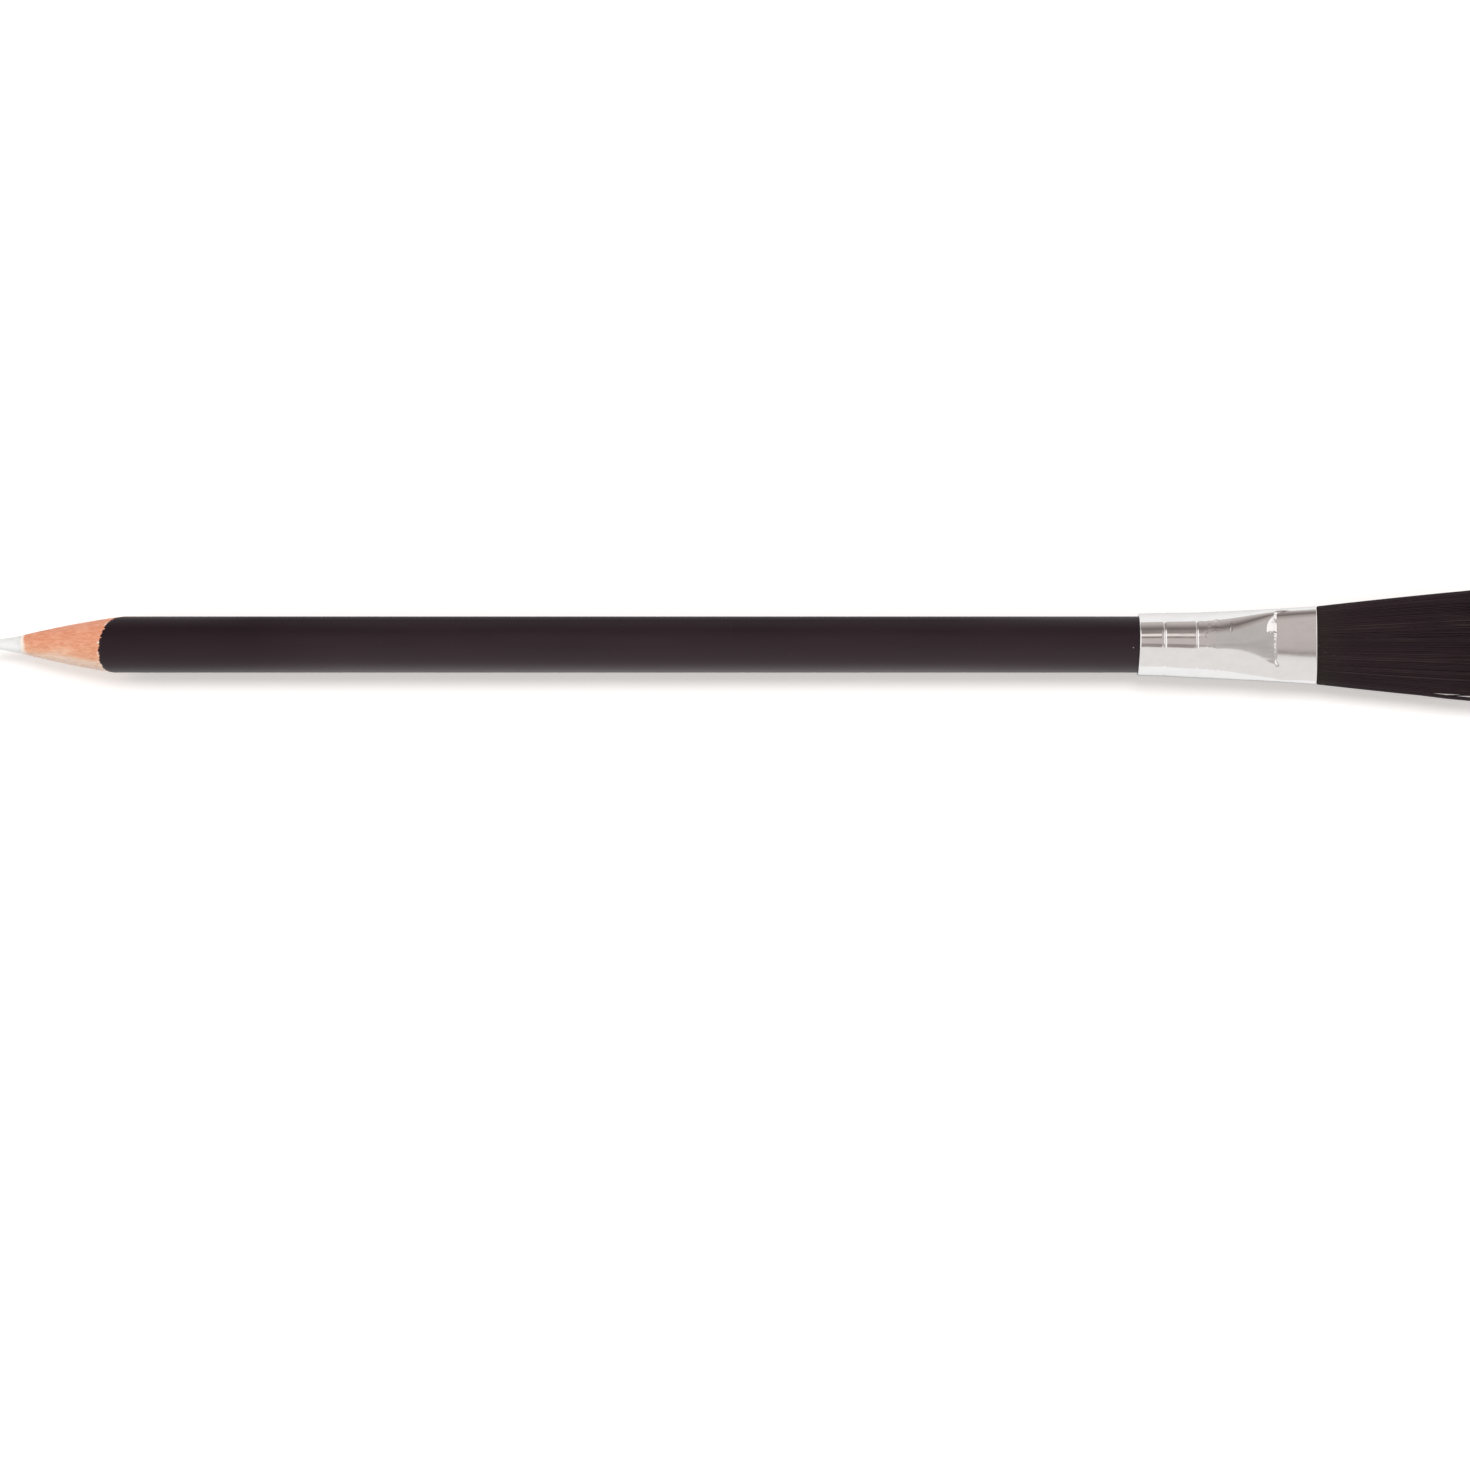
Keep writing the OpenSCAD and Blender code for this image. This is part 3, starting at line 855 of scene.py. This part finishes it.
def brush_height(d, share):
    """Half height of the brush at a share of its half width"""
    mouth = MOUTH_HALF_HEIGHT - SHEET_T
    rise = np.sin(np.radians(np.minimum(90 * np.maximum(d, 0) / (BRUSH_LENGTH * FULLEST_SHARE), 180)))
    half = mouth + (BRUSH_HALF_HEIGHT - mouth) * rise - HAIR_R
    return half * (1 - np.abs(share) ** MOUTH_POWER) ** (1 / MOUTH_POWER)


# Strands that stand off the brush's edges: side, share of the half width, from, to, gap
LOOSE_STRANDS = [
    (-1, 0.94, 15.5, 19.5, 0.26),
    (-1, 0.945, 19.8, 27.5, 0.34),
    (1, 0.935, 21.6, 27.5, 0.3),
]


def stand_off(share, d):
    """Sideways shift of the hairs near a loose strand"""
    shift = np.zeros_like(d)
    for side, edge, start, end, gap in LOOSE_STRANDS:
        open_here = smooth(d, start, start + 1.5) * (1 - smooth(d, end - 1.2, end))
        beyond = side * share - edge
        if beyond > 0:
            shift += side * gap * 0.4 * open_here
        elif beyond > -0.35:
            shift -= side * gap * 0.6 * (1 + beyond / 0.35) * open_here
    return shift


def hair(rng, share, level, tip):
    """Rings of one hair from inside the mouth to its tip"""
    back = -0.8 - 0.4 * rng.random()
    d = np.array([back, *HAIR_STATIONS, tip - 3.0, tip - 1.0, tip])
    growth = np.clip(d / BRUSH_LENGTH, 0, 1) ** 1.6
    seed = rng.random() * 50
    drift_y = [noise.noise(Vector((seed, v * 0.11, 3.0))) for v in d]
    drift_z = [noise.noise(Vector((seed, v * 0.11, 9.0))) for v in d]
    clump = math.floor(share * CLUMPS + 0.6 * math.sin(7 * level))
    pull = math.sin(clump * 12.9) * 0.5
    y = OFF_CENTRE + brush_half_width(d) * share + stand_off(share, d)
    y += growth * (HAIR_DRIFT_Y * np.array(drift_y) + CLUMP_PULL_Y * pull) * (1 - 0.9 * abs(share) ** 6)
    z = brush_height(d, share) * level
    z += growth * (HAIR_DRIFT_Z * np.array(drift_z) + CLUMP_PULL_Z * math.cos(clump * 5.1))
    radius = HAIR_R * (0.9 + 0.2 * rng.random()) * np.array(HAIR_TAPER)
    around = np.linspace(0, 2 * math.pi, HAIR_SIDES, endpoint=False) + seed
    return np.stack([
        MOUTH_X + d[:, None] + np.zeros(HAIR_SIDES),
        y[:, None] + radius[:, None] * np.cos(around),
        AXIS_Z + z[:, None] + radius[:, None] * np.sin(around),
    ], axis=-1)


def bristle_lock(number, material):
    """One lock of hairs, over the same share of the brush as its solid"""
    column = (number - 1) % LOCK_COLUMNS
    layer = (number - 1) // LOCK_COLUMNS
    tip = BRUSH_LENGTH - TIP_SCATTER * (1 + math.sin(math.radians(number * TIP_TURN)))
    rng = random.Random(number)
    points, faces, shades = [], [], []
    for row in range(HAIRS_UP):
        for spot in range(HAIRS_ACROSS):
            offset = 0.25 if row % 2 else -0.25
            across = (spot + 0.5 + offset + rng.uniform(-0.18, 0.18)) / HAIRS_ACROSS
            up = (row + 0.5 + rng.uniform(-0.3, 0.3)) / HAIRS_UP
            share = 2 * (column + across) / LOCK_COLUMNS - 1
            level = 2 * (layer + up) / LOCK_LAYERS - 1
            rings = hair(rng, share, level, tip - 0.9 * rng.random() ** 2)
            first = sum(len(p) for p in points)
            rows = len(rings)
            points.append(rings.reshape(-1, 3))
            faces += grid_faces(rows, HAIR_SIDES, first) + end_faces(rows, HAIR_SIDES, first)
            shades += [rng.random()] * (rows * HAIR_SIDES)
    piece = make_piece(f"bristles_{number:02d}", np.concatenate(points), faces, material)
    add_values(piece, "shade", shades)
    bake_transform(piece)
    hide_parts(f"bristle_lock_{number:02d}")


def bristle_bed(material):
    """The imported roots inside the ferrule, which close the mouth behind the hairs"""
    turns = np.linspace(0, 2 * math.pi, 72, endpoint=False)[None, :]
    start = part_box("bristle_roots")[0].x / MM - FERRULE_X
    stations = np.linspace(start, FERRULE_LENGTH - 0.5, 24)[:, None]
    inset = np.full_like(stations, SHEET_T + 0.02)
    inset[-1] = SHEET_T + 0.4
    points, faces = ring_stack(ferrule_points(stations, inset, turns))
    piece = make_piece("bristle_bed", points, faces, material)
    add_values(piece, "shade", np.full(len(points), 0.3))
    return piece


# Light, floor and camera


# Tones of the panels and flags that stand round the pencil
BRIGHT_WALL = (255, 250, 249)
WALL = (243, 239, 237)
PANEL = (226, 223, 221)
CEILING = (190, 181, 178)
SOFT_CEILING = (183, 178, 175)
DULL_CEILING = (174, 169, 166)
SHADE = (172, 163, 159)
GAP = (146, 136, 132)
FLAG = (118, 109, 106)
GREY_FLAG = (136, 127, 124)
DUSK = (150, 142, 138)
LAMP = (238, 230, 225)

# Degrees from overhead towards +Y, and the tone there; past 90 degrees the metal mirrors the floor.
# The rise is the same in the near, far and side parts of the room.
RISE = [(56, FLAG), (60, FLAG), (68, DUSK), (80, (186, 178, 175)), (94, (196, 190, 186))]
NEAR_STOPS = [
    (-93, WALL), (-87, PANEL), (-11, PANEL), (-8.5, GAP), (1, GAP), (4, CEILING), (20, CEILING),
    (23, SHADE), (24.5, FLAG), (26.5, FLAG), (29, SHADE), (31, LAMP), (37, LAMP), (40, GREY_FLAG),
    (50, GREY_FLAG),
] + RISE
FAR_STOPS = [
    (-6, PANEL), (-3.5, GAP), (-2, GAP), (0.5, CEILING), (32, CEILING), (44, SHADE), (52, DUSK),
] + RISE
SIDE_STOPS = [
    (-11, PANEL), (-7.5, SOFT_CEILING), (-3, SOFT_CEILING), (-1, DULL_CEILING), (2, DULL_CEILING),
    (5, SOFT_CEILING), (38, SOFT_CEILING), (50, GAP),
] + RISE
FRONT_STOPS = [
    (-18, PANEL), (-11, SOFT_CEILING), (-3, SOFT_CEILING), (3, (222, 218, 216)), (8, BRIGHT_WALL),
    (52, BRIGHT_WALL), (60, (212, 208, 205)),
]
BACK_STOPS = [(-16, PANEL), (-8, BRIGHT_WALL), (52, BRIGHT_WALL), (60, GREY_FLAG), (96, DUSK)]
STEEP_STOPS = [(-70, PANEL), (-50, BRIGHT_WALL)]

# The rest of the room: where along the pencil a ray has to point for each part to begin and to be full
ROOM_PARTS = [
    (0.08, 0.092, FAR_STOPS),
    (0.12, 0.34, SIDE_STOPS),
    (0.53, 0.62, FRONT_STOPS),
    (-0.12, -0.24, BACK_STOPS),
]
STEEP_FROM = 0.78
STEEP_FULL = 0.83


def angle_ramp(tree, position, stops):
    """Tones by angle, where position is 0 at -180 degrees and 1 at 180"""
    return colour_ramp(tree, position, [((angle + 180) / 360, colour(*tone)) for angle, tone in stops])


def mirrored_room(tree):
    """What the metal, and faintly the lacquer, mirrors: panels and flags across and along the pencil"""
    direction = axes_of(tree, "Generated")
    along = direction["X"]
    turn = calculate(tree, "ARCTAN2", direction["Y"], direction["Z"])
    position = value_range(tree, turn, -math.pi, math.pi, 0.0, 1.0)
    room = angle_ramp(tree, position, NEAR_STOPS)
    for start, full, stops in ROOM_PARTS:
        share = value_range(tree, along, start, full, 0.0, 1.0)
        room = mix_colours(tree, share, room, angle_ramp(tree, position, stops))
    steepness = calculate(tree, "ABSOLUTE", along)
    share = value_range(tree, steepness, STEEP_FROM, STEEP_FULL, 0.0, 1.0)
    return mix_colours(tree, share, room, angle_ramp(tree, position, STEEP_STOPS))


def directly_seen(tree):
    """1 for a ray from the camera or through something clear"""
    path = tree.nodes.new("ShaderNodeLightPath")
    return calculate(tree, "MAXIMUM", path.outputs["Is Camera Ray"], path.outputs["Is Transmission Ray"])


def thrown_back(tree):
    """1 for a glossy ray that comes from a dull surface, which lights the shadow beside the metal"""
    path = tree.nodes.new("ShaderNodeLightPath")
    past_diffuse = calculate(tree, "MINIMUM", path.outputs["Diffuse Depth"], 1.0)
    return calculate(tree, "MULTIPLY", path.outputs["Is Glossy Ray"], past_diffuse)


def make_world():
    """Even light, a little stronger from -Y, with a room for the metal to mirror; white to the camera"""
    world = bpy.data.worlds.new("studio")
    bpy.context.scene.world = world
    world.use_nodes = True
    tree = world.node_tree
    background = tree.nodes["Background"]
    path = tree.nodes.new("ShaderNodeLightPath")
    from_side = axes_of(tree, "Generated")["Y"]
    level = value_range(tree, from_side, -1.0, 1.0, SKY_LEVEL + SKY_LEAN, SKY_LEVEL - SKY_LEAN)
    back = thrown_back(tree)
    level = calculate(tree, "MULTIPLY", level, value_range(tree, back, 0.0, 1.0, 1.0, THROWN_BACK))
    sky = mix_colours(tree, level, BLACK, WHITE)
    mirrored = calculate(tree, "SUBTRACT", path.outputs["Is Glossy Ray"], back)
    room = mix_colours(tree, mirrored, sky, mirrored_room(tree))
    tree.links.new(mix_colours(tree, directly_seen(tree), room, WHITE), background.inputs["Color"])
    background.inputs["Strength"].default_value = 1.0


def make_key_light():
    """A broad soft light from the +Y side, which drops the shadow towards -Y"""
    lamp = bpy.data.lights.new("key", "SUN")
    lamp.energy = SUN_STRENGTH
    lamp.angle = math.radians(SUN_SPREAD)
    light = bpy.data.objects.new("key", lamp)
    light.rotation_euler = (math.radians(SUN_TILT), 0, 0)
    light.visible_glossy = False
    bpy.context.scene.collection.objects.link(light)


def make_floor():
    """A pale floor, lifted to pure white where it is seen, that keeps the object's shadow"""
    corners = [(x * FLOOR_HALF, y * FLOOR_HALF, 0) for x, y in ((-1, -1), (1, -1), (1, 1), (-1, 1))]
    mesh = bpy.data.meshes.new("floor")
    mesh.from_pydata(corners, [], [(0, 1, 2, 3)])
    floor = bpy.data.objects.new("floor", mesh)
    bpy.context.scene.collection.objects.link(floor)
    material, tree, shader = new_material("pale_floor", roughness=0.9, specular=0.0)
    seen = directly_seen(tree)
    shade = mix_colours(tree, seen, opaque(FLOOR_TONE), opaque(FLOOR_SEEN_TONE))
    dim = opaque(THROWN_BACK * level for level in FLOOR_TONE)
    shade = mix_colours(tree, thrown_back(tree), shade, dim)
    tree.links.new(shade, shader.inputs["Base Color"])
    shader.inputs["Emission Color"].default_value = opaque(FLOOR_GLOW_TONE)
    tree.links.new(calculate(tree, "MULTIPLY", seen, FLOOR_LIFT), shader.inputs["Emission Strength"])
    mesh.materials.append(material)


def make_camera():
    """Straight above, with the pencil where it lies in the photograph"""
    camera = bpy.data.cameras.new("camera")
    camera.sensor_width = SENSOR_WIDTH
    camera.lens = PIXELS_PER_MM * CAMERA_HEIGHT * SENSOR_WIDTH / IMAGE_LONG_SIDE
    holder = bpy.data.objects.new("camera", camera)
    holder.location = (CAMERA_X * MM, CAMERA_Y * MM, (AXIS_Z + CAMERA_HEIGHT) * MM)
    bpy.context.scene.collection.objects.link(holder)
    bpy.context.scene.camera = holder


# The pieces


def dress(node, material):
    """Gives a CAD node that stays its finish"""
    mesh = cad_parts[node].data
    mesh.materials.clear()
    mesh.materials.append(material)


def place(piece, slot, *nodes):
    """The piece rides on the pencil in place of those nodes"""
    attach(piece, "pencil")
    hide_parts(*nodes)


make_camera()
make_world()
make_key_light()
make_floor()

wood = wood_material()
place(slat("carved_upper_slat", 1, wood), "wood", "upper_casing_slat")
place(slat("carved_lower_slat", -1, wood), "wood", "lower_casing_slat")
place(eraser(eraser_material()), "eraser", "eraser_core")
place(lacquer(lacquer_material()), "lacquer", "lacquer_coat")
place(ferrule(metal_material()), "ferrule", "ferrule")

bristles = bristle_material()
place(bristle_bed(bristles), "bristles", "bristle_roots")
for number in range(1, LOCK_COLUMNS * LOCK_LAYERS + 1):
    bristle_lock(number, bristles)

# Nodes inside the assembly that stay: the material's name, two tones and roughness
INNER_FINISHES = {
    "slat_glue": ("wood_glue", (196, 176, 132), (212, 194, 152), 0.5),
    "ferrule_adhesive": ("set_adhesive", (206, 188, 140), (224, 208, 166), 0.35),
    "bristle_resin": ("cast_resin", (98, 80, 50), (120, 100, 66), 0.25),
}
for node, (name, first, second, roughness) in INNER_FINISHES.items():
    dress(node, hidden_material(name, colour(*first), colour(*second), roughness))

bpy.context.scene.view_settings.view_transform = "Standard"
